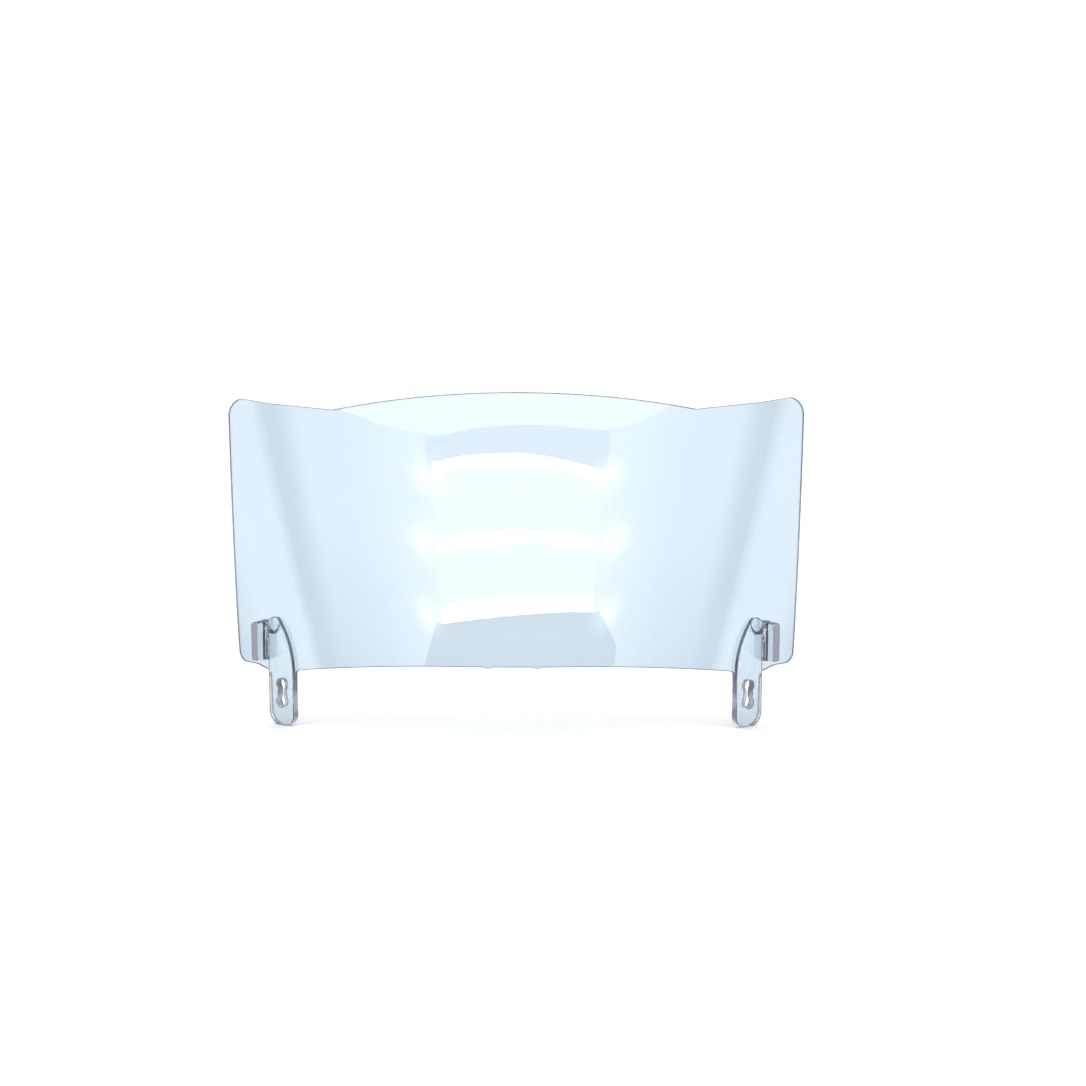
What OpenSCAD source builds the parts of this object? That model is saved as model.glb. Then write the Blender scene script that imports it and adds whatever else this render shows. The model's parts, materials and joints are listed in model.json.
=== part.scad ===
// Clear curved windshield screen with two drilled mounting legs.
// Frame: X across, -Y is the convex outer side, +Z up, origin under the middle
// of the screen at the level of the leg ends.

/* [Sheet] */
// Thickness of the clear sheet
sheet_t = 2.5; // [2:0.1:3]
// Bend radius across the front at mid height
bend_r = 290; // [270:5:310]
// Half angle of the cone that the sheet is bent around
cone_half = 34.6; // [33:0.2:36]
// Backward lean of the straight line down the middle of the screen
lean = 4; // [3:0.5:5]
// Height above the leg ends where the bend radius is measured
mid_z = 121.2; // [120:0.2:123]

/* [Outline] */
// Top of the central arch
arch_z = 201.8; // [200:0.2:204]
// Half width of the central arch, out to the kink
kink_x = 109.5; // [100:0.5:120]
// Height of the kink where the wing begins
kink_z = 193.8; // [192:0.2:195]
// Half width at the top corners
top_x = 182.6; // [180:0.2:186]
// Height of the top corners before rounding
wing_z = 206.4; // [203:0.2:208]
// Half width at the bottom corners
bottom_x = 178.2; // [176:0.2:182]
// Height of the wing's bottom edge, outside the legs
wing_bottom_z = 36.6; // [36:0.1:38]
// Height of the bottom edge in the middle
bottom_z = 42.1; // [41:0.1:44]
// Radius of the top corners
top_corner_r = 10; // [6:0.5:14]
// Radius of the bottom corners
bottom_corner_r = 7; // [4:0.5:9]

/* [Legs] */
// Distance of each leg from the middle
leg_x = 143.1; // [141:0.1:146]
// Width of a leg, measured along the sheet
leg_w = 22; // [20:0.5:23]
// Radius of the outer corner at the leg end
leg_out_r = 8.5; // [7:0.5:9]
// Radius of the inner corner at the leg end
leg_in_r = 6.5; // [5:0.5:9]

/* [Lugs] */
// Thickness of the lug's flat pad
pad_t = 2.5; // [2.3:0.1:4]
// Thickness of the rib beside the pad
rib_t = 6.5; // [4:0.5:7]
// Height of the rib above the pad
rib_h = 7.8; // [6:0.2:10]
// Radius of the hollow corner between pad and rib
rib_fillet_r = 3.5; // [2:0.5:5]
// Height of the top of the lug's pad
lug_top_z = 67.8; // [66:0.2:70]
// Height of the top of the rib
rib_top_z = 64.8; // [62:0.2:65]
// Height of the rib's lower end
rib_bottom_z = 40.2; // [39:0.2:44]
// Radius of the sweep of the pad's inner edge, up to its top
pad_sweep_r = 52; // [50:1:56]

/* [Holes] */
// Height of the middle of the double hole
hole_z = 20.4; // [19:0.1:22]
// Radius of each round seat of the double hole
seat_r = 3.6; // [3.2:0.1:4]
// Distance between the two seats
seat_pitch = 10.8; // [10:0.2:12]
// Width of the neck that joins the seats
neck_w = 4.8; // [4:0.1:4.8]

/* [Bond] */
// Thickness of the solvent cement film under each lug
film_t = 0.15; // [0.1:0.05:0.3]

/* [Hidden] */
$fn = 64;
cone_fn = 240;       // facets of the large cones
arc_n = 8;           // steps in each rounded corner of an outline
arch_n = 24;         // steps in the long arcs
reach = 60;          // how far a cutter runs past the sheet
gate_x = 14;         // moulding gate marks on the bottom edge
gate_w = 4;
gate_h = 0.6;
flat_half = 30;      // half length of the straight middle of the bottom edge
bottom_arc_r = 747;  // radius of the bottom edge beyond it
wing_sag = [150, 199.6]; // the wing's top edge hangs a little below a straight line
wing_sag_r = 60;
toe = [163.5, 36.1]; // where the wing's bottom edge starts down to the leg
toe_r = 12;
toe_slope = 0.40;    // fall of that edge per unit of X
blend = 1.5;         // chamfer where a leg's inner edge meets the panel
heel_r = 4;          // hollow corner where its outer edge meets the panel
root_lap = 6;        // a leg's outline runs this far into the panel
leg_cut = 12;        // half the depth of the cutter that trims a leg
crest_run = 3;       // the pad's outer top corner is cut back this far
crest_r = 1.5;
step_r = 2;          // rounding where the rib's top meets the pad
rib_high_r = 2.5;    // rounding of the rib's outer corners, upper and lower
rib_low_r = 0.8;
sweep_start = -1;    // the sweep leaves the straight inner edge here, along the leg
sweep_r = 5;         // rounding of the pad's inner top corner
back_depth = 2;      // a lug starts this far behind the sheet's face, then is cut to it

// The cone: its tip, its axis and its place along Y
axis_tilt = lean + cone_half;
axis_dir = [0, sin(axis_tilt), cos(axis_tilt)];
tip_s = bend_r / tan(cone_half);
middle_y = -32.37;   // front of the screen at mid height; centres the box on Y
tip = [0, middle_y - tip_s * sin(lean), mid_z - tip_s * cos(lean)];
cone_near = 200;     // span of the cone along its axis that is used
cone_far = 520;

function unit(v) = v / norm(v);

// Y of the outer surface at a given X and Z
function cone_y(x, z) =
    let (c2 = pow(cos(cone_half), 2),
         h = z - tip[2],
         a = pow(axis_dir[1], 2) - c2,
         b = 2 * h * axis_dir[1] * axis_dir[2],
         c = h * h * (pow(axis_dir[2], 2) - c2) - c2 * x * x)
    tip[1] + (-b + sqrt(b * b - 4 * a * c)) / (2 * a);

// Outward normal of the outer surface at a given X and Z
function cone_normal(x, z) =
    (unit([x, cone_y(x, z), z] - tip) * cos(cone_half) - axis_dir) / sin(cone_half);

// Where a leg's own frame stands: out along the normal, up along the leg
leg_z = 33.5;
leg_n = cone_normal(leg_x, leg_z);
leg_yaw = atan2(leg_n[0], -leg_n[1]);
leg_pitch = -asin(leg_n[2]);
leg_roll = atan(tan(leg_yaw) * sin(leg_pitch));
leg_rise = cos(leg_pitch) * cos(leg_roll);   // height gained per unit of leg
leg_c = cos(leg_yaw);                        // X gained per unit across the leg
leg_out_z = sin(leg_roll) * cos(leg_pitch);  // height gained per unit across it
function up_leg(z) = (z - leg_z) / leg_rise;
foot_z = (film_t + pad_t) * sin(leg_pitch);  // drop from the sheet to the pad's face
foot_rise = 3.2;     // the end of a leg rises this much towards the middle
foot_slope = foot_rise / leg_w;
foot_x = leg_w / 2 - leg_out_r;              // the lowest point of the end
foot_y = up_leg(foot_z - foot_x * leg_out_z + leg_out_r * cos(leg_pitch))
    - leg_out_r * (foot_slope + sqrt(1 + foot_slope * foot_slope));

// Height of the panel's edge on its way from the toe down to the leg
function toe_line(x) = toe[1] - toe_slope * (toe[0] - x);

// An arc that rounds the corner b between the sides towards a and c
function corner(a, b, c, r) =
    let (u = unit(a - b),
         v = unit(c - b),
         half = acos(u * v) / 2,
         m = b + unit(u + v) * r / sin(half),
         p = b + u * r / tan(half) - m,
         q = b + v * r / tan(half) - m)
    [for (i = [0:arc_n]) m + r * unit(p * (arc_n - i) + q * i)];

// Rounds every [x, y, r] of a closed outline that has a radius
function rounded(pts) =
    let (n = len(pts), at = function (i) [pts[(i + n) % n][0], pts[(i + n) % n][1]])
    [for (i = [0:n - 1])
        each (pts[i][2] > 0 ? corner(at(i - 1), at(i), at(i + 1), pts[i][2]) : [at(i)])];

// Fall of a circle of radius r at a distance x from its top
function sag(x, r) = r - sqrt(r * r - x * x);
arch_r = (kink_x * kink_x + pow(arch_z - kink_z, 2)) / (2 * (arch_z - kink_z));

// A solid cone whose surface lies `inset` inside the screen's outer surface
module cone_body(inset) {
    translate(tip)
        rotate([-axis_tilt, 0, 0])
            translate([0, 0, cone_near + inset / sin(cone_half)])
                cylinder(h = cone_far - cone_near, r1 = cone_near * tan(cone_half),
                         r2 = cone_far * tan(cone_half), $fn = cone_fn);
}

// Front view of the panel without its legs, right half then left half
module panel_outline() {
    arch = [for (i = [0:arch_n - 1])
        let (x = kink_x * i / arch_n) [x, arch_z - sag(x, arch_r), 0]];
    edge = [[kink_x, kink_z, 0], [wing_sag[0], wing_sag[1], wing_sag_r],
            [top_x, wing_z, top_corner_r], [bottom_x, wing_bottom_z, bottom_corner_r],
            [toe[0], toe[1], toe_r], [leg_x, toe_line(leg_x), 0]];
    under = [for (i = [arch_n:-1:0])
        let (x = (leg_x - flat_half) * i / arch_n)
        [flat_half + x, bottom_z - sag(x, bottom_arc_r), 0]];
    half = concat(arch, edge, under, [[0, bottom_z, 0]]);
    polygon(rounded(half));
    mirror([1, 0]) polygon(rounded(half));
    for (x = [-gate_x, gate_x])
        translate([x - gate_w / 2, bottom_z - gate_h]) square([gate_w, 2]);
}

// Puts a child into the frame of the leg on the +X side: X outward, Y up, Z out
module leg_frame() {
    translate([leg_x, cone_y(leg_x, leg_z), leg_z])
        rotate([90 + leg_pitch, 0, leg_yaw])
            rotate([0, 0, leg_roll])
                children();
}

// Face view of a leg, from its rounded end up to a root that runs into the panel
module leg_outline() {
    w = leg_w / 2;
    root = up_leg(toe[1] + root_lap);
    inner_z = bottom_z - sag(leg_x - w - flat_half, bottom_arc_r);
    polygon(rounded([
        [-w, foot_y + foot_rise, leg_in_r], [w, foot_y, leg_out_r],
        [w, up_leg(toe_line(leg_x + w * leg_c)), heel_r],
        [w + root_lap, up_leg(toe_line(leg_x + (w + root_lap) * leg_c)), 0],
        [w + root_lap, root, 0],
        [-w - blend, root, 0], [-w - blend, up_leg(inner_z + blend / 2), 0],
        [-w, up_leg(inner_z - blend), 0]]));
}

// Face view of the lug: leg end, swept inner edge, and the foot of the rib
module lug_outline() {
    w = leg_w / 2;
    top = up_leg(lug_top_z);
    steps = 2 * arc_n;
    sweep = [for (i = [0:steps])
        let (t = (top - sweep_start) * (1 - i / steps))
        [-w + sag(t, pad_sweep_r), sweep_start + t, i == 0 ? sweep_r : 0]];
    polygon(rounded(concat(
        [[-w, foot_y + foot_rise, leg_in_r], [w, foot_y, leg_out_r],
         [w, up_leg(rib_bottom_z), 0], [w + rib_t, up_leg(rib_bottom_z), rib_low_r],
         [w + rib_t, up_leg(rib_top_z), rib_high_r], [w, up_leg(rib_top_z), step_r],
         [w - crest_run, top, crest_r]], sweep)));
}

// Two round seats joined by a narrower neck, through pad, film and sheet
module double_hole() {
    depth = 4 * (pad_t + sheet_t);
    y = up_leg(hole_z);
    for (s = [-1, 1])
        translate([0, y + s * seat_pitch / 2, -depth / 2]) cylinder(h = depth, r = seat_r);
    translate([-neck_w / 2, y - seat_pitch / 2, -depth / 2])
        cube([neck_w, seat_pitch, depth]);
}

// Screen: one curved clear sheet that runs down into both legs
module screen_sheet() {
    color("lightcyan", 0.5)
        difference() {
            intersection() {
                difference() {
                    cone_body(0);
                    cone_body(sheet_t);
                }
                union() {
                    translate([0, middle_y + 2 * reach, 0])
                        rotate([90, 0, 0])
                            linear_extrude(3 * reach) panel_outline();
                    for (m = [0, 1])
                        mirror([m, 0, 0])
                            leg_frame()
                                translate([0, 0, -leg_cut])
                                    linear_extrude(2 * leg_cut) leg_outline();
                }
            }
            for (m = [0, 1])
                mirror([m, 0, 0]) leg_frame() double_hole();
        }
}

// Hollow corner between pad and rib, seen along the leg
module fillet_section() {
    r = rib_fillet_r;
    corner_x = leg_w / 2;
    face = film_t + pad_t;
    difference() {
        translate([corner_x - r, face - 1]) square([r + 1, r + 1]);
        translate([corner_x - r, face + r]) circle(r);
    }
}

// Flat pad of the lug with the hollow corner; its top is scooped and bevelled
module lug_pad() {
    w = leg_w / 2;
    face = film_t + pad_t;
    top = up_leg(lug_top_z);
    fillet_low = up_leg(rib_bottom_z);
    fillet_high = up_leg(rib_top_z) - 0.8;
    crest_slope = 58;    // fall of the bevelled crest towards the front
    scoop_r = 15;        // shallow scoop below the crest
    scoop_tilt = 12;
    scoop_y = top - 9.5; // the scoop starts about here
    scoop_x = w - rib_fillet_r - 1.6;
    difference() {
        union() {
            translate([0, 0, -back_depth])
                linear_extrude(face + back_depth) lug_outline();
            translate([0, fillet_high, 0])
                rotate([90, 0, 0]) linear_extrude(fillet_high - fillet_low) fillet_section();
        }
        translate([w - reach, top - 0.2, film_t])
            rotate([crest_slope, 0, 0]) cube([reach, reach, reach]);
        translate([scoop_x, scoop_y, face + scoop_r])
            rotate([-90 - scoop_tilt, 0, 0]) cylinder(h = reach, r = scoop_r);
    }
}

// Square rib along the outer edge of the lug
module lug_rib() {
    w = leg_w / 2;
    low = up_leg(rib_bottom_z);
    high = up_leg(rib_top_z);
    rib_slope = 5;       // the rib's top falls away towards its front
    difference() {
        intersection() {
            translate([0, 0, -back_depth])
                linear_extrude(film_t + pad_t + rib_h + back_depth) lug_outline();
            translate([w, low - 1, -2 * back_depth])
                cube([rib_t + 1, high - low + 2, reach]);
        }
        translate([w - 1, high, 0]) rotate([rib_slope, 0, 0]) cube([reach, reach, reach]);
    }
}

// Lug for the +X side: its back follows the sheet
module lug() {
    difference() {
        leg_frame()
            difference() {
                union() {
                    lug_pad();
                    lug_rib();
                }
                double_hole();
            }
        cone_body(-film_t);
    }
}

// Film for the +X side: fills the gap between the lug and the sheet
module cement_film() {
    difference() {
        intersection() {
            cone_body(-film_t);
            leg_frame()
                translate([0, 0, -2 * back_depth])
                    linear_extrude(4 * back_depth) lug_outline();
        }
        cone_body(0);
        leg_frame() double_hole();
    }
}

module right_lug() {
    color("azure", 0.7) lug();
}

module left_lug() {
    color("azure", 0.7) mirror([1, 0, 0]) lug();
}

module right_cement_film() {
    color("lavender", 0.8) cement_film();
}

module left_cement_film() {
    color("lavender", 0.8) mirror([1, 0, 0]) cement_film();
}

screen_sheet();
left_lug();
right_lug();
left_cement_film();
right_cement_film();
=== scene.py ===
"""Looks of the clear windshield screen: a bent sheet with two bonded, drilled lugs."""

import json
import math

import bpy
import numpy as np
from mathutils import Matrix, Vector
from mathutils.geometry import delaunay_2d_cdt


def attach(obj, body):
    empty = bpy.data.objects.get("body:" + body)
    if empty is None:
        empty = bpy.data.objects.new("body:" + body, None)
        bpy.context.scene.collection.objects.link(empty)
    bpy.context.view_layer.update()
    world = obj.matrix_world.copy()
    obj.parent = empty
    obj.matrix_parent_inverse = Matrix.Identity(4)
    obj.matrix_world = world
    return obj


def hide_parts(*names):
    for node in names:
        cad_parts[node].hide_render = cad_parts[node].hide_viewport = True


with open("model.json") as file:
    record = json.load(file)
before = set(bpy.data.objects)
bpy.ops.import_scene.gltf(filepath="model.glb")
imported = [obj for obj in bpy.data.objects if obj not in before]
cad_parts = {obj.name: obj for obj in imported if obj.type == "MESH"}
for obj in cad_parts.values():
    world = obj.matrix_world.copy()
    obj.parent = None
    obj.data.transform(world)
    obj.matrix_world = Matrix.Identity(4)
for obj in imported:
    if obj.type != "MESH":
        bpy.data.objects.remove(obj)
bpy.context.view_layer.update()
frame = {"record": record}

# Shapes are worked out in millimetres and put into metres when a mesh is made.
MM = 0.001


# ---------------------------------------------------------------- sizes

SHEET_T = 2.5         # sheet thickness
FILM_T = 0.15         # solvent cement film under a lug
PAD_T = 2.5           # flat pad of a lug
EDGE_R = 0.35         # polished round on every cut edge

CONE_HALF = math.radians(34.6)
CONE_LEAN = math.radians(4)
BEND_R = 290.0        # bend radius at MID_Z
MID_Z = 121.2
MIDDLE_Y = -32.37     # front of the screen at MID_Z

ARCH_Z = 201.8        # outline of the panel, right half
KINK = (109.5, 193.8)
WING_SAG = (150.0, 199.6, 60.0)
TOP_CORNER = (182.6, 206.4, 10.0)
BOTTOM_CORNER = (178.2, 36.6, 7.0)
TOE = (163.5, 36.1, 12.0)
TOE_SLOPE = 0.40
BOTTOM_Z = 42.1
FLAT_HALF = 30.0
BOTTOM_ARC_R = 747.0
GATE_X, GATE_W, GATE_H = 14.0, 4.0, 0.6

LEG_X, LEG_Z, LEG_W = 143.1, 33.5, 22.0
LEG_OUT_R, LEG_IN_R, FOOT_RISE = 8.5, 6.5, 3.2
HEEL_R, BLEND = 4.0, 1.5

RIB_T, RIB_H = 6.5, 7.8
LUG_TOP_Z, RIB_TOP_Z, RIB_BOTTOM_Z = 67.8, 64.8, 40.2
PAD_SWEEP_R = 52.0
RIB_SLOPE, CREST_SLOPE, SCOOP_TILT = (math.radians(v) for v in (5, 58, 12))
SCOOP_R, SCOOP_DROP, SCOOP_SHIFT = 15.0, 9.5, 1.6
CREST_DROP = 0.2
FILLET_R = 3.5
SWEEP_START = -1.0    # height in the leg's frame where the pad's swept edge begins
LUG_NET = 0.41        # spacing of the lug's mesh; some others leave edges shared by four faces

HOLE_R = next(m["dims"]["r_mm"] for m in frame["record"]["mounts"] if m["kind"] == "bore")
HOLE_Z, HOLE_PITCH, HOLE_NECK = 20.4, 10.8, 4.8


# ---------------------------------------------------------------- the cone that the sheet follows

AXIS = np.array([0.0, math.sin(CONE_LEAN + CONE_HALF), math.cos(CONE_LEAN + CONE_HALF)])
SLANT = BEND_R / math.tan(CONE_HALF)
TIP = np.array([0.0, MIDDLE_Y - SLANT * math.sin(CONE_LEAN), MID_Z - SLANT * math.cos(CONE_LEAN)])


def cone_distance(points):
    """How far points lie outside the screen's outer surface; negative inside it."""
    rel = points - TIP
    along = rel @ AXIS
    across = np.linalg.norm(rel - along[:, None] * AXIS, axis=1)
    return across * math.cos(CONE_HALF) - along * math.sin(CONE_HALF)


def cone_y(x, z):
    """Y of the outer surface at each x and z."""
    c2 = math.cos(CONE_HALF) ** 2
    h = z - TIP[2]
    a = AXIS[1] ** 2 - c2
    b = 2 * h * AXIS[1] * AXIS[2]
    c = h * h * (AXIS[2] ** 2 - c2) - c2 * x * x
    return TIP[1] + (-b + np.sqrt(b * b - 4 * a * c)) / (2 * a)


def cone_normals(points):
    rays = points - TIP
    rays = rays / np.linalg.norm(rays, axis=1)[:, None]
    return (rays * math.cos(CONE_HALF) - AXIS) / math.sin(CONE_HALF)


def on_cone(front):
    """Points of the outer surface over front-view points (x, z)."""
    return np.column_stack([front[:, 0], cone_y(front[:, 0], front[:, 1]), front[:, 1]])


def leg_frame():
    """Origin of the +X leg's own frame, and its axes as columns: outward, up, out of the front."""
    origin = on_cone(np.array([[LEG_X, LEG_Z]]))
    normal = cone_normals(origin)[0]
    up = np.cross(normal, [1.0, 0.0, 0.0])
    up /= np.linalg.norm(up)
    return origin[0], np.column_stack([np.cross(up, normal), up, normal])


LEG_O, LEG_AXES = leg_frame()
LEG_RISE = LEG_AXES[2, 1]


def up_leg(z):
    return (z - LEG_Z) / LEG_RISE


def from_leg(local):
    return LEG_O + local @ LEG_AXES.T


def leg_to_front(flat):
    """Front-view points where lines along the leg's normal meet the outer surface."""
    points = from_leg(np.column_stack([flat, np.zeros(len(flat))]))
    for _ in range(4):
        points = points - cone_distance(points)[:, None] * LEG_AXES[:, 2]
    return points[:, [0, 2]]


# ---------------------------------------------------------------- outlines

def sag(x, r):
    """Fall of a circle of radius r at a distance x from its top."""
    return r - np.sqrt(r * r - x * x)


def rounded(corners, steps=8):
    """Points of a closed outline; a corner (x, y, r) with r > 0 becomes an arc."""
    out = []
    n = len(corners)
    for i, (x, y, r) in enumerate(corners):
        b = np.array([x, y])
        if r == 0:
            out.append(b)
            continue
        u = np.array(corners[i - 1][:2]) - b
        v = np.array(corners[(i + 1) % n][:2]) - b
        u /= np.linalg.norm(u)
        v /= np.linalg.norm(v)
        half = math.acos(np.clip(u @ v, -1, 1)) / 2
        middle = b + (u + v) / np.linalg.norm(u + v) * r / math.sin(half)
        p = b + u * r / math.tan(half) - middle
        q = b + v * r / math.tan(half) - middle
        for k in range(steps + 1):
            d = p * (steps - k) + q * k
            out.append(middle + r * d / np.linalg.norm(d))
    return np.array(out)


def spaced(points, step, closed=True):
    """The same outline with its long sides cut into pieces no longer than step."""
    out = []
    ends = np.roll(points, -1, axis=0) if closed else points[1:]
    for a, b in zip(points, ends):
        pieces = max(1, math.ceil(np.linalg.norm(b - a) / step))
        out += [a + (b - a) * k / pieces for k in range(pieces)]
    return np.array(out if closed else out + [points[-1]])


def foot_corners():
    """The two rounded corners at a leg's end, inner then outer, in the leg's frame."""
    w = LEG_W / 2
    pitch = math.asin(-LEG_AXES[2, 2])
    slope = FOOT_RISE / LEG_W
    drop = (FILM_T + PAD_T) * math.sin(pitch) - (w - LEG_OUT_R) * LEG_AXES[2, 0]
    foot = up_leg(drop + LEG_OUT_R * math.cos(pitch)) - LEG_OUT_R * (slope + math.hypot(1, slope))
    return [(-w, foot + FOOT_RISE, LEG_IN_R), (w, foot, LEG_OUT_R)]


def leg_side():
    """Front-view points down a leg's inner side, round its end and up to the heel."""
    w = LEG_W / 2
    inner_z = BOTTOM_Z - sag(LEG_X - w - FLAT_HALF, BOTTOM_ARC_R)
    heel_x = LEG_X + w * LEG_AXES[0, 0]
    heel = up_leg(TOE[1] - TOE_SLOPE * (TOE[0] - heel_x))
    past_heel = up_leg(TOE[1] - TOE_SLOPE * (TOE[0] - heel_x) + TOE_SLOPE * 6 * LEG_AXES[0, 0])
    root = up_leg(inner_z)
    corners = [(-w - BLEND, root, 0), (-w, root - BLEND, 0)] + foot_corners()
    corners += [(w, heel, HEEL_R), (w + 6, past_heel, 0)]
    return leg_to_front(spaced(rounded(corners)[:-1], 1.5, closed=False))


def screen_outline():
    """Front-view outline of the whole screen, once round."""
    arch_r = (KINK[0] ** 2 + (ARCH_Z - KINK[1]) ** 2) / (2 * (ARCH_Z - KINK[1]))
    gate = [(GATE_X + s * GATE_W / 2, BOTTOM_Z - d * GATE_H)
            for s, d in ((-1, 0), (-1, 1), (1, 1), (1, 0))]
    leg = leg_side()
    run = leg[0, 0] - FLAT_HALF
    under = [(FLAT_HALF + run * t, BOTTOM_Z - sag(run * t, BOTTOM_ARC_R))
             for t in np.linspace(0, 1, 40)[:-1]]
    wing = rounded([(*leg[-1], 0), TOE, BOTTOM_CORNER, TOP_CORNER, WING_SAG, (*KINK, 0)])[1:-1]
    wing = spaced(np.vstack([leg[-1:], wing, [KINK]]), 2.0)
    wing = wing[1:np.argmin(np.linalg.norm(wing - KINK, axis=1)) + 1]
    arch = [(KINK[0] * t, ARCH_Z - sag(KINK[0] * t, arch_r)) for t in np.linspace(1, 0, 56)[1:]]
    right = np.vstack([[(0.0, BOTTOM_Z)], gate, under, leg, wing, arch])
    left = right[1:-1][::-1] * [-1, 1]
    return np.vstack([right, left])


def hole_outline():
    """The double hole, once round, in the leg's frame."""
    y = up_leg(HOLE_Z)
    open_half = math.asin(HOLE_NECK / 2 / HOLE_R)
    turn = np.linspace(open_half - math.pi / 2, 1.5 * math.pi - open_half, 33)
    top = np.column_stack([np.cos(turn), np.sin(turn)]) * HOLE_R + [0, HOLE_PITCH / 2]
    outline = spaced(np.vstack([top, -top]), 0.7)
    for _ in range(2):
        outline = (np.roll(outline, 1, axis=0) + 2 * outline + np.roll(outline, -1, axis=0)) / 4
    return outline + [0, y]


def inside(points, outline):
    """Which points lie inside a closed outline."""
    x, y = points[:, 0][:, None], points[:, 1][:, None]
    ax, ay = outline[:, 0], outline[:, 1]
    bx, by = np.roll(ax, -1), np.roll(ay, -1)
    with np.errstate(divide="ignore", invalid="ignore"):
        crossing = ((ay > y) != (by > y)) & (x < (bx - ax) * (y - ay) / (by - ay) + ax)
    return crossing.sum(axis=1) % 2 == 1


def outline_distance(points, outline):
    """Signed distance of flat points to a closed outline, negative inside."""
    a, b = outline, np.roll(outline, -1, axis=0)
    side = b - a
    length2 = (side ** 2).sum(axis=1)
    best = np.full(len(points), np.inf)
    for k in range(len(outline)):
        if length2[k] == 0:
            continue
        t = np.clip(((points - a[k]) @ side[k]) / length2[k], 0, 1)
        away = points - a[k] - t[:, None] * side[k]
        best = np.minimum(best, (away ** 2).sum(axis=1))
    return np.where(inside(points, outline), -1, 1) * np.sqrt(best)


# ---------------------------------------------------------------- meshes

def put_mesh(name, points, faces, normals, materials, slots=None):
    """A mesh object from points in millimetres, with its own smooth normals."""
    mesh = bpy.data.meshes.new(name)
    mesh.from_pydata((points * MM).tolist(), [], [list(map(int, f)) for f in faces])
    for material in materials:
        mesh.materials.append(material)
    if slots is not None:
        mesh.polygons.foreach_set("material_index", np.asarray(slots, np.int32))
    mesh.polygons.foreach_set("use_smooth", np.ones(len(faces), bool))
    mesh.normals_split_custom_set_from_vertices(normals.tolist())
    mesh.update()
    made = bpy.data.objects.new(name, mesh)
    bpy.context.scene.collection.objects.link(made)
    return made


def mirrored(points, faces, normals):
    """The same shell on the other side of the plane x = 0."""
    flip = np.array([-1.0, 1.0, 1.0])
    return points * flip, [f[::-1] for f in faces], normals * flip


def rim_profile(top, bottom, r):
    """Section of an edge as (inset, depth, angle from the front), with corners of radius r."""
    turns = np.radians([0, 30, 60, 90])
    front = [(r * (1 - math.sin(t)), top + r * (1 - math.cos(t)), t) for t in turns]
    back = [(i, top + bottom - d, math.pi - t) for i, d, t in front[::-1]]
    return front + [(0.0, (top + bottom) / 2, math.pi / 2)] + back


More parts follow.
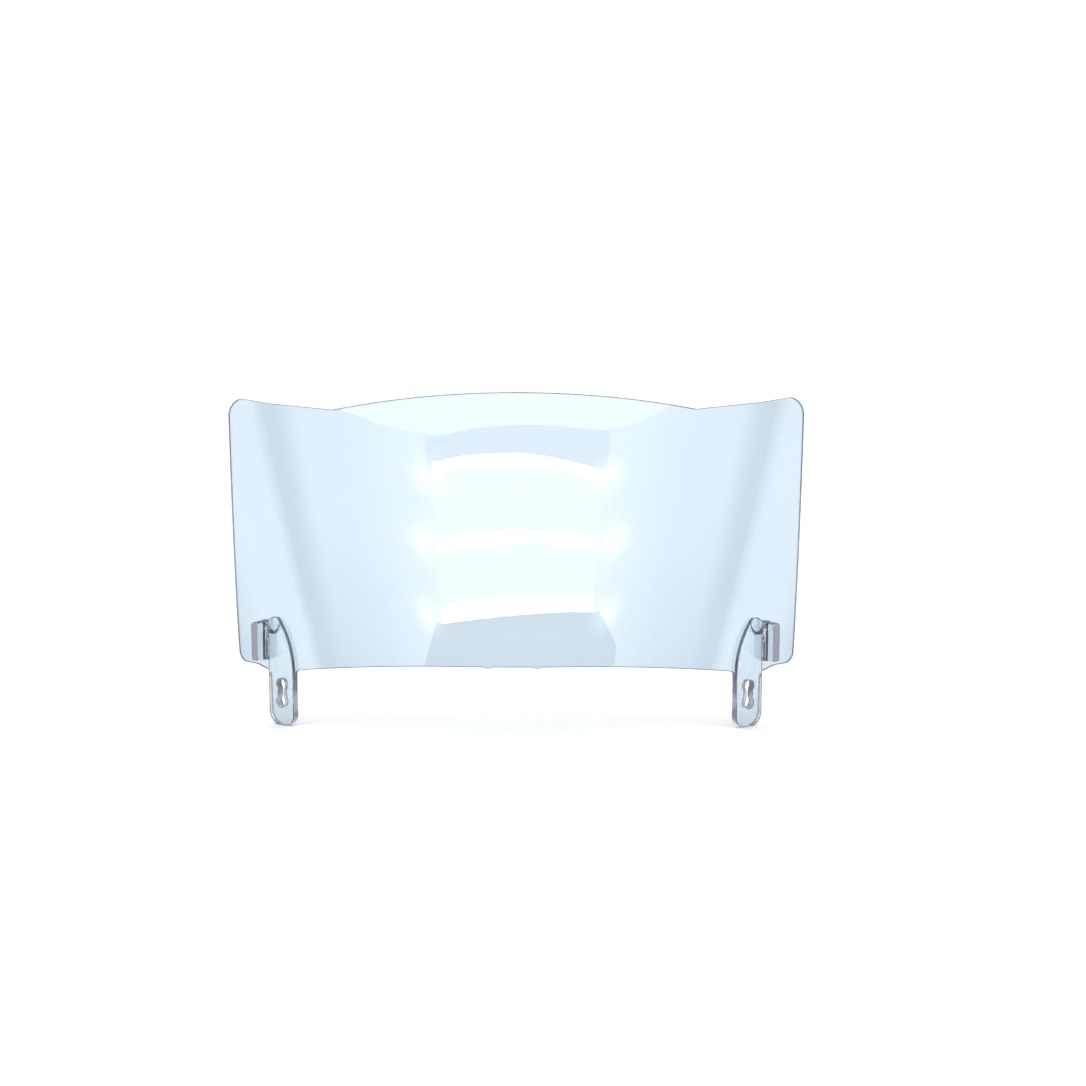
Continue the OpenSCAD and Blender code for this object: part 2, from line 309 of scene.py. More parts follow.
def bent_plate(outline, holes, top, bottom, edge_r, cell=4.0):
    """A plate between two depths below the outer surface: points, faces, normals, rim flags.

    The front and back share one flat triangulation; rims run square to the surface."""
    loops = [outline] + holes
    profile = rim_profile(top, bottom, edge_r)
    points, normals, faces, rim = [], [], [], []
    front_loops, starts = [], []
    count = 0
    for k, loop in enumerate(loops):
        surface = on_cone(loop)
        n = cone_normals(surface)
        along = np.roll(surface, -1, axis=0) - np.roll(surface, 1, axis=0)
        outward = np.cross(n, along)
        outward /= np.linalg.norm(outward, axis=1)[:, None]
        probe = surface[:, [0, 2]] + 0.05 * outward[:, [0, 2]]
        into = inside(probe, loop)
        flip = np.median(np.where(into, -1, 1)) * (1 if k == 0 else -1)
        outward = outward * flip
        # where the sheet leans out past its front edge, the whole rim moves in by as much
        lean = -(n[:, [0, 2]] * outward[:, [0, 2]]).sum(axis=1)
        surface = surface - outward * np.maximum(lean, 0)[:, None] * bottom
        m = len(loop)
        starts.append(count)
        for inset, depth, turn in profile:
            points.append(surface - outward * inset - n * depth)
            normals.append(n * math.cos(turn) + outward * math.sin(turn))
        front_loops.append(surface - outward * profile[0][0])
        a = np.arange(m)
        b = (a + 1) % m
        for r in range(len(profile) - 1):
            p, q = count + r * m, count + (r + 1) * m
            quads = np.column_stack([p + a, p + b, q + b, q + a])
            # counter-clockwise seen from outside
            facing = np.cross(along, -n)
            turned = np.median((facing * outward).sum(axis=1)) > 0
            quads = quads if turned else quads[:, ::-1]
            faces += quads.tolist()
            rim += [1] * m
        count += m * len(profile)
    # flat triangulation of the face, in the front view
    low, high = outline.min(axis=0), outline.max(axis=0)
    xs = np.arange(low[0] + cell / 2, high[0], cell)
    zs = np.arange(low[1] + cell / 2, high[1], cell * 0.866)
    grid = np.array([(x + (cell / 2 if j % 2 else 0), z) for j, z in enumerate(zs) for x in xs])
    keep = inside(grid, outline)
    for k, loop in enumerate(loops):
        gaps = np.full(len(grid), np.inf)
        for chunk in np.array_split(loop, max(1, len(loop) // 64)):
            gaps = np.minimum(gaps, np.linalg.norm(grid[:, None] - chunk, axis=2).min(axis=1))
        keep &= gaps > cell * 0.45
        if k:
            keep &= ~inside(grid, loop)
    grid = grid[keep]
    flat = np.vstack([f[:, [0, 2]] for f in front_loops] + [grid])
    edges = []
    first = 0
    for loop in loops:
        m = len(loop)
        edges += [(first + i, first + (i + 1) % m) for i in range(m)]
        first += m
    found = delaunay_2d_cdt([Vector(p) for p in flat.tolist()], edges, [], 1, 1e-7, True)
    origin = [o[0] if o else -1 for o in found[3]]
    triangles = np.array([[origin[i] for i in t] for t in found[2]])
    middles = flat[triangles].mean(axis=1)
    solid = inside(middles, front_loops[0][:, [0, 2]])
    for loop in front_loops[1:]:
        solid &= ~inside(middles, loop[:, [0, 2]])
    triangles = triangles[solid]
    ring = len(grid)
    inner = on_cone(grid)
    inner_n = cone_normals(inner)
    points += [inner - inner_n * profile[0][1], inner - inner_n * profile[-1][1]]
    normals += [inner_n, -inner_n]
    sizes = np.cumsum([0] + [len(loop) for loop in loops])

    def place(i, last):
        if i >= sizes[-1]:
            return count + (ring if last else 0) + i - sizes[-1]
        k = int(np.searchsorted(sizes, i, side="right")) - 1
        m = len(loops[k])
        return starts[k] + ((len(profile) - 1) * m if last else 0) + i - sizes[k]

    for a, b, c in triangles:
        flat_turn = np.cross(flat[b] - flat[a], flat[c] - flat[a])
        # the front view looks along +Y, so x to the right and z up turn outward as drawn
        if flat_turn < 0:
            a, b, c = a, c, b
        faces.append([place(a, False), place(b, False), place(c, False)])
        faces.append([place(c, True), place(b, True), place(a, True)])
        rim += [0, 0]
    return np.vstack(points), faces, np.vstack(normals), rim


def blend_max(a, b, k):
    """The larger of two distances, with the edge between them rounded over k."""
    h = np.maximum(k - np.abs(a - b), 0) / k
    return np.maximum(a, b) + h * h * k / 4


def blend_min(a, b, k):
    return -blend_max(-a, -b, k)


def net(shape, low, high, step):
    """Quads over the zero surface of a distance function, and its normals."""
    axes = [np.arange(low[i], high[i] + step, step) for i in range(3)]
    grid = np.stack(np.meshgrid(*axes, indexing="ij"), -1)
    value = shape(grid.reshape(-1, 3)).reshape(grid.shape[:3])
    solid = value < 0
    n = np.array(solid.shape) - 1
    cells = tuple(slice(0, v) for v in n)
    total = np.zeros(tuple(n) + (3,))
    hits = np.zeros(tuple(n))
    corners = [(i, j, k) for i in (0, 1) for j in (0, 1) for k in (0, 1)]

    def at(field, c):
        return field[c[0]:c[0] + n[0], c[1]:c[1] + n[1], c[2]:c[2] + n[2]]

    for c in corners:
        for axis in range(3):
            if c[axis]:
                continue
            d = tuple(v + (1 if i == axis else 0) for i, v in enumerate(c))
            va, vb = at(value, c), at(value, d)
            cut = (va < 0) != (vb < 0)
            with np.errstate(divide="ignore", invalid="ignore"):
                t = np.where(cut, va / (va - vb), 0)
            crossing = at(grid, c) + t[..., None] * (at(grid, d) - at(grid, c))
            total += np.where(cut[..., None], crossing, 0)
            hits += cut
    mixed = hits > 0
    index = np.full(tuple(n), -1)
    index[mixed] = np.arange(mixed.sum())
    points = total[mixed] / hits[mixed][:, None]
    quads = []
    for axis in range(3):
        b, c = (axis + 1) % 3, (axis + 2) % 3
        near = solid[tuple(slice(0, -1) if i == axis else slice(1, -1) for i in range(3))]
        far = solid[tuple(slice(1, None) if i == axis else slice(1, -1) for i in range(3))]
        for rising in (False, True):
            where = np.argwhere((near != far) & (near == rising))
            around = []
            for db, dc in ((1, 1), (0, 1), (0, 0), (1, 0)):
                cell = where.copy()
                cell[:, b] += db
                cell[:, c] += dc
                around.append(index[tuple(cell.T)])
            quad = np.column_stack(around)
            quads.append(quad if rising else quad[:, ::-1])
    quads = np.vstack(quads)
    for _ in range(3):
        slope = gradient(shape, points)
        size2 = np.maximum((slope ** 2).sum(axis=1), 1e-9)
        move = -shape(points)[:, None] * slope / size2[:, None]
        reach = np.linalg.norm(move, axis=1)[:, None]
        points = points + move * np.minimum(1, step / 2 / np.maximum(reach, 1e-9))
    slope = gradient(shape, points)
    return points, quads, slope / np.linalg.norm(slope, axis=1)[:, None]


def gradient(shape, points, h=0.02):
    return np.column_stack([
        (shape(points + h * e) - shape(points - h * e)) / (2 * h) for e in np.eye(3)])


# ---------------------------------------------------------------- the lug

def pad_outline():
    """Face view of the flat pad in the leg's frame, with its swept inner edge."""
    w = LEG_W / 2
    top = up_leg(LUG_TOP_Z)
    rise = np.linspace(top - SWEEP_START, 0, 17)
    sweep = [(-w + sag(t, PAD_SWEEP_R), SWEEP_START + t, 5.0 if i == 0 else 0.0)
             for i, t in enumerate(rise)]
    corners = foot_corners() + [(w, up_leg(RIB_TOP_Z), 2.0), (w - 3, top, 1.5)] + sweep
    return rounded(corners)


PAD_OUTLINE = pad_outline()


def hole_distance(flat):
    y = up_leg(HOLE_Z)
    seats = [np.linalg.norm(flat - [0, y + s * HOLE_PITCH / 2], axis=1) - HOLE_R for s in (-1, 1)]
    neck = np.maximum(np.abs(flat[:, 0]) - HOLE_NECK / 2, np.abs(flat[:, 1] - y) - HOLE_PITCH / 2)
    return np.minimum(np.minimum(*seats), neck)


def scoop_depth(p):
    """How deep points lie in the shallow scoop under the lug's crest."""
    x, y, n = p.T
    w = LEG_W / 2
    turned = ((y - up_leg(LUG_TOP_Z) + SCOOP_DROP) * math.sin(SCOOP_TILT)
              + (n - FILM_T - PAD_T - SCOOP_R) * math.cos(SCOOP_TILT))
    return np.minimum(SCOOP_R - np.hypot(x - w + FILLET_R + SCOOP_SHIFT, turned), w - 0.5 - x)


def crest_height(p):
    """Distance of points in front of the bevelled crest."""
    return ((p[:, 1] - up_leg(LUG_TOP_Z) + CREST_DROP) * math.cos(CREST_SLOPE)
            + (p[:, 2] - FILM_T) * math.sin(CREST_SLOPE))


def on_crease(p):
    """Points on the thin lines where the crest and the scoop leave the pad, which get the crease
    material's painted shade.
    """
    on_face = np.abs(p[:, 2] - FILM_T - PAD_T) < 0.35
    at_scoop = on_face & (np.abs(scoop_depth(p)) < 0.09)
    at_crest = (np.abs(crest_height(p)) < 0.2) & (np.abs(scoop_depth(p)) < 0.45)
    return (at_scoop | at_crest) & (p[:, 0] < LEG_W / 2 - 1)


def lug_shape(p):
    """Distance to the +X lug in its leg's frame: pad, rib, hollow corner, scoop, crest and hole."""
    w = LEG_W / 2
    face = FILM_T + PAD_T
    x, y, n = p.T
    low_y, high_y = up_leg(RIB_BOTTOM_Z), up_leg(RIB_TOP_Z)
    pad = blend_max(outline_distance(p[:, :2], PAD_OUTLINE), n - face, 0.6)
    hollow = FILLET_R - np.hypot(x - w + FILLET_R, n - face - FILLET_R)
    corner = np.maximum.reduce(
        [w - FILLET_R - x, x - w - 1, face - 1 - n, n - face - FILLET_R, hollow])
    corner = blend_max(corner, np.maximum(low_y - y, y - high_y + 0.8), 0.6)
    pad = blend_max(blend_min(pad, corner, 0.4), crest_height(p), 0.5)
    pad = blend_max(pad, scoop_depth(p), 0.4)
    across = np.abs(x - w - RIB_T / 2) - RIB_T / 2
    ends = blend_max(low_y - y, (y - high_y) * math.cos(RIB_SLOPE) + n * math.sin(RIB_SLOPE), 1.0)
    rib = blend_max(blend_max(across, ends, 2.0), n - face - RIB_H, 0.9)
    lug = blend_min(pad, rib, 0.5)
    lug = blend_max(lug, -hole_distance(p[:, :2]), 0.7)
    back = FILM_T - cone_distance(from_leg(p))
    return blend_max(lug, back, 0.8)


# ---------------------------------------------------------------- materials

def node_tree(name):
    material = bpy.data.materials.new(name)
    material.use_nodes = True
    material.node_tree.nodes.clear()
    return material, material.node_tree.nodes, material.node_tree.links


def noise(nodes, links, coords, scale, detail=4.0, rough=0.5):
    n = nodes.new("ShaderNodeTexNoise")
    n.inputs["Scale"].default_value = scale
    n.inputs["Detail"].default_value = detail
    n.inputs["Roughness"].default_value = rough
    links.new(coords, n.inputs["Vector"])
    return n.outputs["Fac"]


def ramp(nodes, links, value, lows, highs, smooth=False):
    """Maps a texture's value from the span lows to the span highs."""
    n = nodes.new("ShaderNodeMapRange")
    if smooth:
        n.interpolation_type = "SMOOTHSTEP"
    n.inputs["From Min"].default_value, n.inputs["From Max"].default_value = lows
    n.inputs["To Min"].default_value, n.inputs["To Max"].default_value = highs
    links.new(value, n.inputs["Value"])
    return n.outputs["Result"]


def stretched(nodes, links, coords, scale, turn=(0, 0, 0)):
    n = nodes.new("ShaderNodeMapping")
    n.inputs["Scale"].default_value = scale
    n.inputs["Rotation"].default_value = turn
    links.new(coords, n.inputs["Vector"])
    return n.outputs["Vector"]


def add(nodes, links, *values):
    total = values[0]
    for v in values[1:]:
        n = nodes.new("ShaderNodeMath")
        n.operation = "ADD"
        links.new(total, n.inputs[0])
        links.new(v, n.inputs[1])
        total = n.outputs[0]
    return total


# Absorption of the two plastics as a density per metre and the colour that passes best.
SHEET_ABSORBS = (260.0, (0.08, 0.335, 0.52, 1.0))
LUG_ABSORBS = (36.0, (0.10, 0.25, 0.35, 1.0))


PLASTIC_IOR = 1.53


def clear_plastic(name, absorbs, wave_mm, scratch, dust, haze=0.012):
    """Faintly blue transparent plastic: soft moulding waves, hairline wipe marks and fine dust."""
    material, nodes, links = node_tree(name)
    out = nodes.new("ShaderNodeOutputMaterial")
    shader = nodes.new("ShaderNodeBsdfPrincipled")
    shader.inputs["Base Color"].default_value = (1.0, 1.0, 1.0, 1.0)
    shader.inputs["Transmission Weight"].default_value = 1.0
    shader.inputs["IOR"].default_value = PLASTIC_IOR
    coords = nodes.new("ShaderNodeTexCoord").outputs["Object"]
    waves = noise(nodes, links, coords, 14.0, 2.0)
    orange = noise(nodes, links, coords, 160.0, 2.0)
    drawn = [stretched(nodes, links, coords, (6, 6, 900), (0, turn, 0)) for turn in (0.5, 1.9, 2.6)]
    wipes = [noise(nodes, links, way, 1.0, 6.0, 0.7) for way in drawn]
    lines = add(nodes, links, *[ramp(nodes, links, w, (0.62, 0.72), (0.0, scratch)) for w in wipes])
    specks = ramp(nodes, links, noise(nodes, links, coords, 2600.0, 1.0), (0.74, 0.80), (0.0, dust))
    cloud = ramp(nodes, links, noise(nodes, links, coords, 22.0, 5.0), (0.3, 0.7), (0.0, haze))
    links.new(add(nodes, links, cloud, lines, specks), shader.inputs["Roughness"])
    relief = nodes.new("ShaderNodeBump")
    relief.inputs["Distance"].default_value = wave_mm * MM
    relief.inputs["Strength"].default_value = 1.0
    links.new(add(nodes, links, waves, ramp(nodes, links, orange, (0, 1), (0, 0.03))),
              relief.inputs["Height"])
    links.new(relief.outputs["Normal"], shader.inputs["Normal"])
    links.new(shader.outputs["BSDF"], out.inputs["Surface"])
    absorb(nodes, links, out, absorbs)
    return material


def absorb(nodes, links, out, absorbs):
    volume = nodes.new("ShaderNodeVolumeAbsorption")
    volume.inputs["Density"].default_value, volume.inputs["Color"].default_value = absorbs
    links.new(volume.outputs["Volume"], out.inputs["Volume"])


# Painted shade and painted reflection on the cut edges, as a tone at each height in millimetres: 0 dark,
# 1 light.
EDGE_SHADE_AND_REFLECTION_TONES = [(0, 0.55), (5, 0.6), (7.5, 0.05), (9.5, 0.15), (11, 0.8), (19, 0.75), (22, 0.05),
              (37, 0.0), (45, 0.3), (60, 0.35), (186, 0.5), (193, 0.0), (205, 0.0)]


def cut_edge(name, absorbs, dark, light, frost):
    """The sawn and flame-polished edge: painted shade and painted reflections as dark and light stretches
    up its height, faint saw lines across it.
    """
    material, nodes, links = node_tree(name)
    out = nodes.new("ShaderNodeOutputMaterial")
    shader = nodes.new("ShaderNodeBsdfPrincipled")
    shader.inputs["Transmission Weight"].default_value = 1.0 - frost
    shader.inputs["IOR"].default_value = PLASTIC_IOR
    coords = nodes.new("ShaderNodeTexCoord").outputs["Object"]
    saw = noise(nodes, links, stretched(nodes, links, coords, (1400, 60, 1400)), 1.0, 3.0)
    patches = noise(nodes, links, coords, 90.0, 4.0)
    # the base colour is painted light: the dark tint is painted shade and the light tint is painted
    # reflection, chosen by height
    shade = nodes.new("ShaderNodeMix")
    shade.data_type = "RGBA"
    shade.inputs[6].default_value = dark
    shade.inputs[7].default_value = light
    split = nodes.new("ShaderNodeSeparateXYZ")
    links.new(coords, split.inputs[0])
    wander = ramp(nodes, links, patches, (0.3, 0.7), (-0.002, 0.002))
    height = ramp(nodes, links, add(nodes, links, split.outputs[2], wander),
                  (0.0, EDGE_SHADE_AND_REFLECTION_TONES[-1][0] * MM), (0, 1))
    tones = nodes.new("ShaderNodeValToRGB")
    stops = tones.color_ramp.elements
    stops[0].position, stops[1].position = 0.0, 1.0
    for z, _ in EDGE_SHADE_AND_REFLECTION_TONES[1:-1]:
        stops.new(z / EDGE_SHADE_AND_REFLECTION_TONES[-1][0])
    for stop, (_, tone) in zip(stops, EDGE_SHADE_AND_REFLECTION_TONES):
        stop.color = (tone, tone, tone, 1.0)
    links.new(height, tones.inputs["Fac"])
    links.new(tones.outputs["Color"], shade.inputs[0])
    links.new(shade.outputs[2], shader.inputs["Base Color"])
    links.new(add(nodes, links, ramp(nodes, links, saw, (0.3, 0.8), (0.03, 0.16)),
                  ramp(nodes, links, patches, (0.4, 0.7), (0.0, 0.10))), shader.inputs["Roughness"])
    relief = nodes.new("ShaderNodeBump")
    relief.inputs["Distance"].default_value = 0.03 * MM
    links.new(saw, relief.inputs["Height"])
    links.new(relief.outputs["Normal"], shader.inputs["Normal"])
    links.new(shader.outputs["BSDF"], out.inputs["Surface"])
    absorb(nodes, links, out, absorbs)
    return material


def cement(name):
    """Dried solvent cement: clear with small milky patches."""
    material, nodes, links = node_tree(name)
    out = nodes.new("ShaderNodeOutputMaterial")
    clear = nodes.new("ShaderNodeBsdfTransparent")
    clear.inputs["Color"].default_value = (0.96, 0.98, 0.99, 1.0)
    milk = nodes.new("ShaderNodeBsdfPrincipled")
    milk.inputs["Base Color"].default_value = (0.80, 0.86, 0.92, 1.0)
    milk.inputs["Roughness"].default_value = 0.35
    coords = nodes.new("ShaderNodeTexCoord").outputs["Object"]
    patches = add(nodes, links,
                  ramp(nodes, links, noise(nodes, links, coords, 240.0, 5.0), (0.52, 0.75), (0.0, 0.20)),
                  ramp(nodes, links, noise(nodes, links, coords, 1500.0, 2.0), (0.64, 0.72), (0.0, 0.25)))
    mixed = nodes.new("ShaderNodeMixShader")
    links.new(patches, mixed.inputs["Fac"])
    links.new(clear.outputs["BSDF"], mixed.inputs[1])
    links.new(milk.outputs["BSDF"], mixed.inputs[2])
    links.new(mixed.outputs["Shader"], out.inputs["Surface"])
    return material


SHEET_FACE = clear_plastic("sheet_face", SHEET_ABSORBS, wave_mm=0.05, scratch=0.05, dust=0.25)
# the edge and crease materials carry painted shade and painted reflection in their dark and light tints
SHEET_EDGE = cut_edge("sheet_edge", SHEET_ABSORBS,
                      (0.24, 0.25, 0.38, 1.0), (0.70, 0.74, 0.84, 1.0), 0.55)
LUG_FACE = clear_plastic("lug_face", LUG_ABSORBS, wave_mm=0.06, scratch=0.04, dust=0.2, haze=0.02)
# lug_crease is tinted darker: painted shade for the dark refraction lines along the crest and the scoop
LUG_CREASE = cut_edge("lug_crease", LUG_ABSORBS,
                      (0.40, 0.46, 0.56, 1.0), (0.62, 0.68, 0.76, 1.0), 0.15)
LUG_EDGE = cut_edge("lug_edge", LUG_ABSORBS,
                    (0.22, 0.24, 0.34, 1.0), (0.68, 0.74, 0.82, 1.0), 0.40)
CEMENT = cement("cement")


# ---------------------------------------------------------------- pieces

def make_sheet():
    right_hole = leg_to_front(hole_outline())
    left_hole = right_hole[::-1] * [-1, 1]
    points, faces, normals, rim = bent_plate(
        screen_outline(), [right_hole, left_hole], 0.0, SHEET_T, EDGE_R)
    # rim faces take sheet_edge, whose dark and light tints are painted shade and painted reflection
    sheet = put_mesh("bent_screen", points, faces, normals, [SHEET_FACE, SHEET_EDGE], rim)
    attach(sheet, "root")
    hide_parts("screen_sheet")


def make_lugs():
    w = LEG_W / 2
    low = [-w - 1, up_leg(0) - 1, -2.0]
    high = [w + RIB_T + 1, up_leg(LUG_TOP_Z) + 1, FILM_T + PAD_T + RIB_H + 1]
    local, quads, slope = net(lug_shape, low, high, LUG_NET)
    # the pad's side walls and the rib's end face are sawn; the rib's own sides are polished
    on_rib = local[:, 2] > FILM_T + PAD_T + 0.5
    sawn = np.where(on_rib, slope[:, 2] > 0.9, np.abs(slope[:, 2]) < 0.5)
    sawn &= ~on_rib | (local[:, 2] > FILM_T + PAD_T + RIB_H - 1)
    # sawn faces take lug_edge, whose dark and light tints are painted shade and painted reflection
    slots = sawn[quads].all(axis=1).astype(int)
    # crease faces take lug_crease, painted darker as shade along the crest and scoop lines
    slots[on_crease(local)[quads].any(axis=1)] = 2
    right = from_leg(local), quads.tolist(), slope @ LEG_AXES.T
    for side, (points, faces, normals) in (("right", right), ("left", mirrored(*right))):
        lug = put_mesh(side + "_bonded_lug", points, faces, normals,
                       [LUG_FACE, LUG_EDGE, LUG_CREASE], slots)
        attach(lug, "root")
        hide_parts(side + "_lug")


def make_films():
    """Cement under each lug, drawn in a little from the lug's edge."""
    inset, gap = 0.3, 0.03
    side = np.roll(PAD_OUTLINE, -1, axis=0) - np.roll(PAD_OUTLINE, 1, axis=0)
    inward = np.column_stack([-side[:, 1], side[:, 0]]) / np.linalg.norm(side, axis=1)[:, None]
    outline = PAD_OUTLINE + inward * inset
    centre = np.array([0, up_leg(HOLE_Z)])
    hole = centre + (hole_outline() - centre) * (1 + inset / HOLE_R)
    points, faces, normals, _ = bent_plate(
        leg_to_front(outline), [leg_to_front(hole)], gap - FILM_T, -gap, gap, cell=2.0)
    right = points, faces, normals
    for side, shell in (("right", right), ("left", mirrored(*right))):
        film = put_mesh(side + "_cement", *shell, [CEMENT])
        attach(film, "root")
        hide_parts(side + "_cement_film")


# ---------------------------------------------------------------- studio

BACKDROP_Y = 1.5
BACKDROP_BEND = 0.9


def make_backdrop():
    """Pale floor that sweeps up into a wall behind the object."""
    half_width, front, height = 6.0, -5.0, 4.0
    turns = np.linspace(0, math.pi / 2, 25)
    profile = [(front, 0.0)]
    profile += [(BACKDROP_Y + BACKDROP_BEND * math.sin(t), BACKDROP_BEND * (1 - math.cos(t)))
                for t in turns]
    profile.append((BACKDROP_Y + BACKDROP_BEND, height))
    points = [(s * half_width, y, z) for y, z in profile for s in (-1, 1)]
    faces = [(2 * i, 2 * i + 1, 2 * i + 3, 2 * i + 2) for i in range(len(profile) - 1)]
    mesh = bpy.data.meshes.new("backdrop")
    mesh.from_pydata(points, [], faces)
    mesh.polygons.foreach_set("use_smooth", np.ones(len(faces), bool))
    material, nodes, links = node_tree("pale_paper")
    out = nodes.new("ShaderNodeOutputMaterial")
    shader = nodes.new("ShaderNodeBsdfPrincipled")
    shader.inputs["Roughness"].default_value = 0.9
    shader.inputs["Specular IOR Level"].default_value = 0.1
    coords = nodes.new("ShaderNodeTexCoord").outputs["Object"]
    shade = nodes.new("ShaderNodeMix")
    shade.data_type = "RGBA"
    shade.inputs[6].default_value = (0.94, 0.94, 0.94, 1.0)
    shade.inputs[7].default_value = (0.97, 0.97, 0.97, 1.0)
    links.new(noise(nodes, links, coords, 3.0), shade.inputs[0])
    links.new(shade.outputs[2], shader.inputs["Base Color"])
    links.new(shader.outputs["BSDF"], out.inputs["Surface"])
    mesh.materials.append(material)
    made = bpy.data.objects.new("backdrop", mesh)
    bpy.context.scene.collection.objects.link(made)
    made.visible_glossy = False


def make_panel(name, corners, radiance, fades=()):
    """A flat soft light that the camera doesn't see; a radiance of 0 makes a dark card.

    Corners run round one or more quads side by side. Each fade is (axis, from, to, start, end):
    the light is multiplied by a factor that goes from start to end between two places."""
    mesh = bpy.data.meshes.new(name)
    quads = [(i, i + 1, i + 2, i + 3) for i in range(0, len(corners), 4)]
    mesh.from_pydata(corners, [], quads)
    material, nodes, links = node_tree(name)
    out = nodes.new("ShaderNodeOutputMaterial")
    glow = nodes.new("ShaderNodeEmission")
    glow.inputs["Strength"].default_value = radiance
    split = nodes.new("ShaderNodeSeparateXYZ")
    links.new(nodes.new("ShaderNodeTexCoord").outputs["Object"], split.inputs[0])
    level = None
    for axis, near, far, start, end in fades:
        factor = ramp(nodes, links, split.outputs[axis], (near, far), (start, end), True)
        product = nodes.new("ShaderNodeMath")
        product.operation = "MULTIPLY"
        product.inputs[1].default_value = radiance
        links.new(factor, product.inputs[0])
        if level:
            links.new(level, product.inputs[1])
        level = product.outputs[0]
    if level:
        links.new(level, glow.inputs["Strength"])
    links.new(glow.outputs["Emission"], out.inputs["Surface"])
    mesh.materials.append(material)
    made = bpy.data.objects.new(name, mesh)
    bpy.context.scene.collection.objects.link(made)
    made.visible_camera = False
    made.visible_transmission = False
    made.visible_diffuse = False
    made.visible_shadow = False
    return made


def upright(x0, x1, y, z0, z1):
    return [(x0, y, z0), (x1, y, z0), (x1, y, z1), (x0, y, z1)]


def strip(xs, y, low, high):
    """Quads side by side between two curves low(x) and high(x) on an upright plane."""
    corners = []
    for a, b in zip(xs, xs[1:]):
        corners += [(a, y, low(a)), (b, y, low(b)), (b, y, high(b)), (a, y, high(a))]
    return corners


def make_blob(name, x, z, reach_x, reach_z, radiance):
    """An oval light that is brightest in its middle."""
    y = WINDOW_Y + 0.03
    made = make_panel(name, upright(x - reach_x, x + reach_x, y, z - reach_z, z + reach_z), radiance)
    material = made.data.materials[0]
    nodes, links = material.node_tree.nodes, material.node_tree.links
    glow = next(n for n in nodes if n.type == "EMISSION")
    place = nodes.new("ShaderNodeMapping")
    place.inputs["Location"].default_value = (-x / reach_x, -y / reach_z, -z / reach_z)
    place.inputs["Scale"].default_value = (1 / reach_x, 1 / reach_z, 1 / reach_z)
    links.new(nodes.new("ShaderNodeTexCoord").outputs["Object"], place.inputs["Vector"])
    ball = nodes.new("ShaderNodeTexGradient")
    ball.gradient_type = "QUADRATIC_SPHERE"
    links.new(place.outputs["Vector"], ball.inputs["Vector"])
    links.new(ramp(nodes, links, ball.outputs["Fac"], (0, 1), (0, radiance)), glow.inputs["Strength"])
    clear = nodes.new("ShaderNodeBsdfTransparent")
    both = nodes.new("ShaderNodeAddShader")
    links.new(glow.outputs["Emission"], both.inputs[0])
    links.new(clear.outputs["BSDF"], both.inputs[1])
    out = next(n for n in nodes if n.type == "OUTPUT_MATERIAL")
    links.new(both.outputs["Shader"], out.inputs["Surface"])


WINDOW_Y = -1.43      # the window stands here, and the side lights fall back from it
WING_Y = -1.12
# where the soft ovals of light stand at the ends of the window's tubes, as (x, z)
TUBE_ENDS = ((-0.68, 0.408), (-0.76, 0.268), (-0.77, 0.112),
             (0.70, 0.404), (0.80, 0.258), (0.79, 0.108))


def window_top(x):
    return 0.467 - 0.085 * x * x - 0.018 * x


def window_low(x):
    return 0.151 - 0.088 * x * x + 0.015 * x


def part_way_up(part):
    """A curve at a part of the window's height."""
    return lambda x: window_low(x) + (window_top(x) - window_low(x)) * part


def side_y(x):
    """Y of the near side light at a distance x from the middle."""
    return WINDOW_Y - 0.05 + (abs(x) - 0.6) / 1.75 * (WING_Y - WINDOW_Y + 0.05)


def make_window():
    xs = [-0.64 + 1.30 * i / 12 for i in range(13)]
    make_panel("window", strip(xs, WINDOW_Y, window_low, window_top), 6.0)
    make_panel("lintel", upright(-0.7, 0.7, WINDOW_Y - 0.02, 0.38, 0.56), 2.4)
    for name, low, high in (("low", 0.0, 0.12), ("mid", 0.43, 0.52), ("high", 0.915, 1.0)):
        tube = strip(xs, WINDOW_Y + 0.01, part_way_up(low), part_way_up(high))
        make_panel("tube_" + name, tube, 10.0)
    for side, edges in ((-1, (0.64, 0.80, 0.68)), (1, (0.66, 0.88, 0.72))):
        top, middle, low = (side * v for v in edges)
        inner = (top + low) / 2 * 0.97
        make_panel(f"window_end_{side}", [
            (inner, WINDOW_Y, 0.26), (inner, WINDOW_Y, 0.43),
            (top, WINDOW_Y, 0.42), (middle, WINDOW_Y, 0.26),
            (inner, WINDOW_Y, 0.11), (inner, WINDOW_Y, 0.26),
            (middle, WINDOW_Y, 0.26), (low, WINDOW_Y, 0.11)], 4.8)
    for x, z in TUBE_ENDS:
        make_blob(f"tube_end_{x}", x, z, 0.24, 0.065, 6.0)
    card_y = WINDOW_Y + 0.02
    card = strip(xs, card_y, lambda x: -0.05, window_low)
    for foot, top in ((-0.94, -0.69), (1.09, 0.71)):
        inner = xs[0] if foot < 0 else xs[-1]
        card += [(foot, card_y, -0.05), (inner, card_y, -0.05),
                 (inner, card_y, window_low(inner)), (top, card_y, window_low(inner))]
    make_panel("dark_card", card, 0.0)


def make_overhead():
    """Bright ceiling whose front edge dips towards the window's corners."""
    edge = [(-2.0, 0.57), (-1.41, 0.513), (-1.0, 0.503), (-0.616, 0.493), (-0.3, 0.512),
            (0.02, 0.521), (0.3, 0.515), (0.616, 0.501), (0.9, 0.507), (1.25, 0.535), (2.0, 0.62)]
    corners = []
    for (a, low_a), (b, low_b) in zip(edge, edge[1:]):
        ya, yb = (max(side_y(x), WINDOW_Y) + 0.03 for x in (a, b))
        corners += [(a, ya, low_a), (b, yb, low_b), (b, yb, 2.6), (a, ya, 2.6)]
    make_panel("overhead", corners, 5.6)


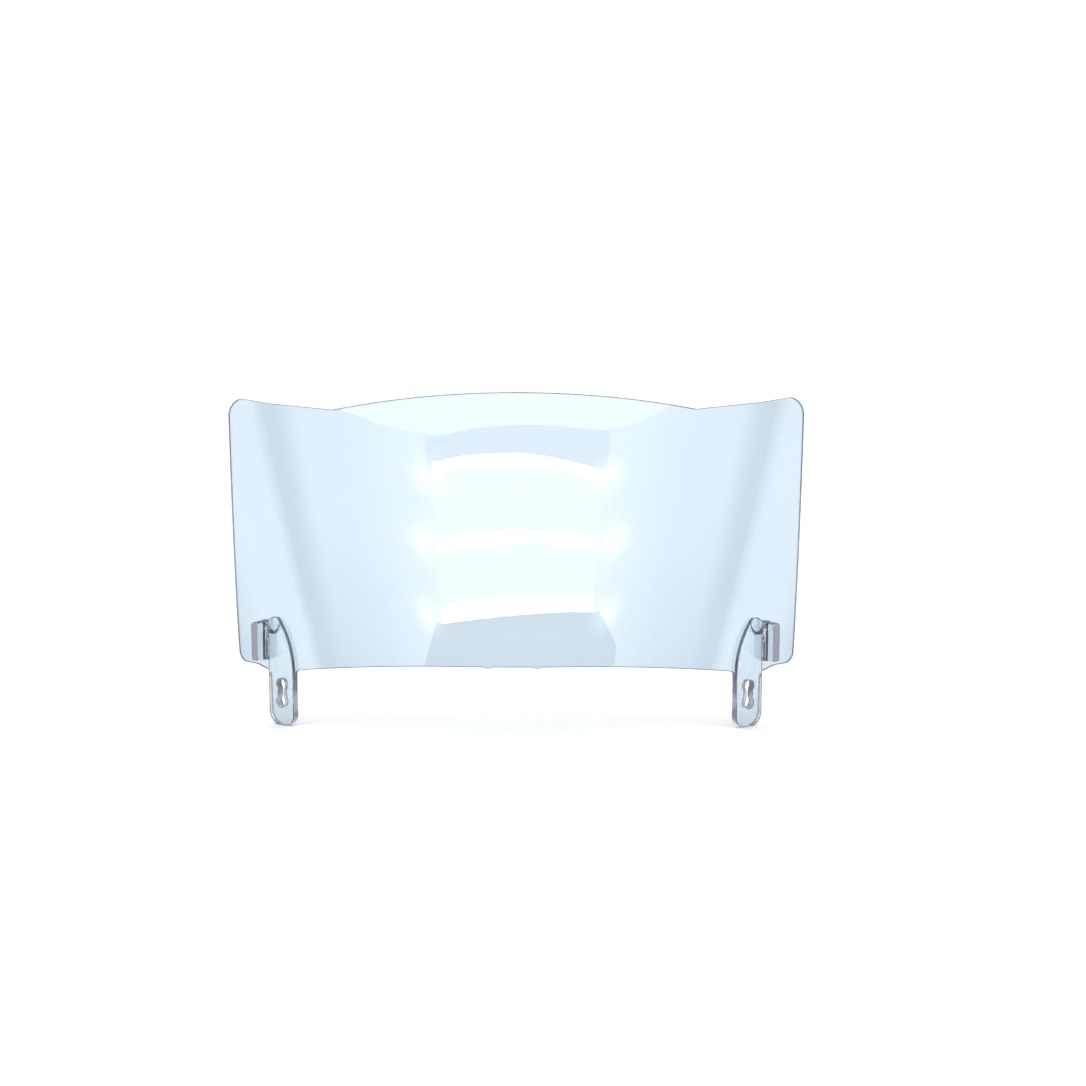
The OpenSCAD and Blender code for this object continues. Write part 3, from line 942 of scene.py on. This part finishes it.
def make_sides():
    """Two softer lights on each side, with a shaded corner between them."""
    low, high = -2.0, 2.6
    for side in (-1, 1):
        name = "left" if side < 0 else "right"
        near_x, bend_x, corner_x, far_x = (side * v for v in (0.6, 1.5, 2.35, 2.42))
        near = []
        for a, b in ((near_x, bend_x), (bend_x, corner_x)):
            near += [(a, side_y(a), low), (b, side_y(b), low),
                     (b, side_y(b), high), (a, side_y(a), high)]
        make_panel(name + "_near", near, 4.2, [
            (0, side * 0.7, side * 1.5, 1.0, 0.66), (0, side * 1.95, side * 2.35, 1.0, 0.15),
            (2, 0.25, -0.45, 1.0, 0.18)])
        make_panel(name + "_corner", [(corner_x, WING_Y, low), (far_x, -0.98, low),
                                      (far_x, -0.98, high), (corner_x, WING_Y, high)], 0.15)
        make_panel(name + "_far", [(far_x, -0.98, low), (far_x, 1.4, low),
                                   (far_x, 1.4, high), (far_x, -0.98, high)],
                   3.0, [(1, -0.98, -0.8, 0.3, 1.0), (1, -0.3, 0.5, 1.0, 0.3)])


def make_flags():
    """Dark cards beside and above the backdrop that only strongly bent light meets."""
    side_x, near_y, far_y, low_z, top_z = 0.62, 0.15, 1.25, -0.4, 0.75
    cards = [[(s * side_x, near_y, low_z), (s * side_x, far_y, low_z),
              (s * side_x, far_y, top_z), (s * side_x, near_y, top_z)] for s in (-1, 1)]
    cards.append([(-side_x, near_y, top_z), (side_x, near_y, top_z),
                  (side_x, far_y, top_z), (-side_x, far_y, top_z)])
    for i, corners in enumerate(cards):
        card = make_panel(f"flag_{i}", corners, 0.25)
        card.visible_transmission = True
        card.visible_glossy = False


def make_world():
    world = bpy.data.worlds.new("studio")
    bpy.context.scene.world = world
    world.use_nodes = True
    background = world.node_tree.nodes["Background"]
    background.inputs["Color"].default_value = (1.0, 1.0, 1.0, 1.0)
    background.inputs["Strength"].default_value = 1.32


def make_camera():
    """A level camera in front of the screen's middle, a touch to its right."""
    distance = 0.6
    orbit = math.radians(1.18)
    data = bpy.data.cameras.new("camera")
    data.lens = 34.38
    data.sensor_width = 36.0
    data.shift_x = 0.0278
    data.shift_y = -0.012
    data.clip_start = 0.01
    camera = bpy.data.objects.new("camera", data)
    bpy.context.scene.collection.objects.link(camera)
    camera.location = (distance * math.sin(orbit),
                       MIDDLE_Y * MM - distance * math.cos(orbit), MID_Z * MM)
    camera.rotation_euler = (math.pi / 2, 0, orbit)
    bpy.context.scene.camera = camera


make_sheet()
make_lugs()
make_films()
make_backdrop()
make_window()
make_overhead()
make_sides()
make_flags()
make_world()
make_camera()
bpy.context.scene.view_settings.view_transform = "Standard"
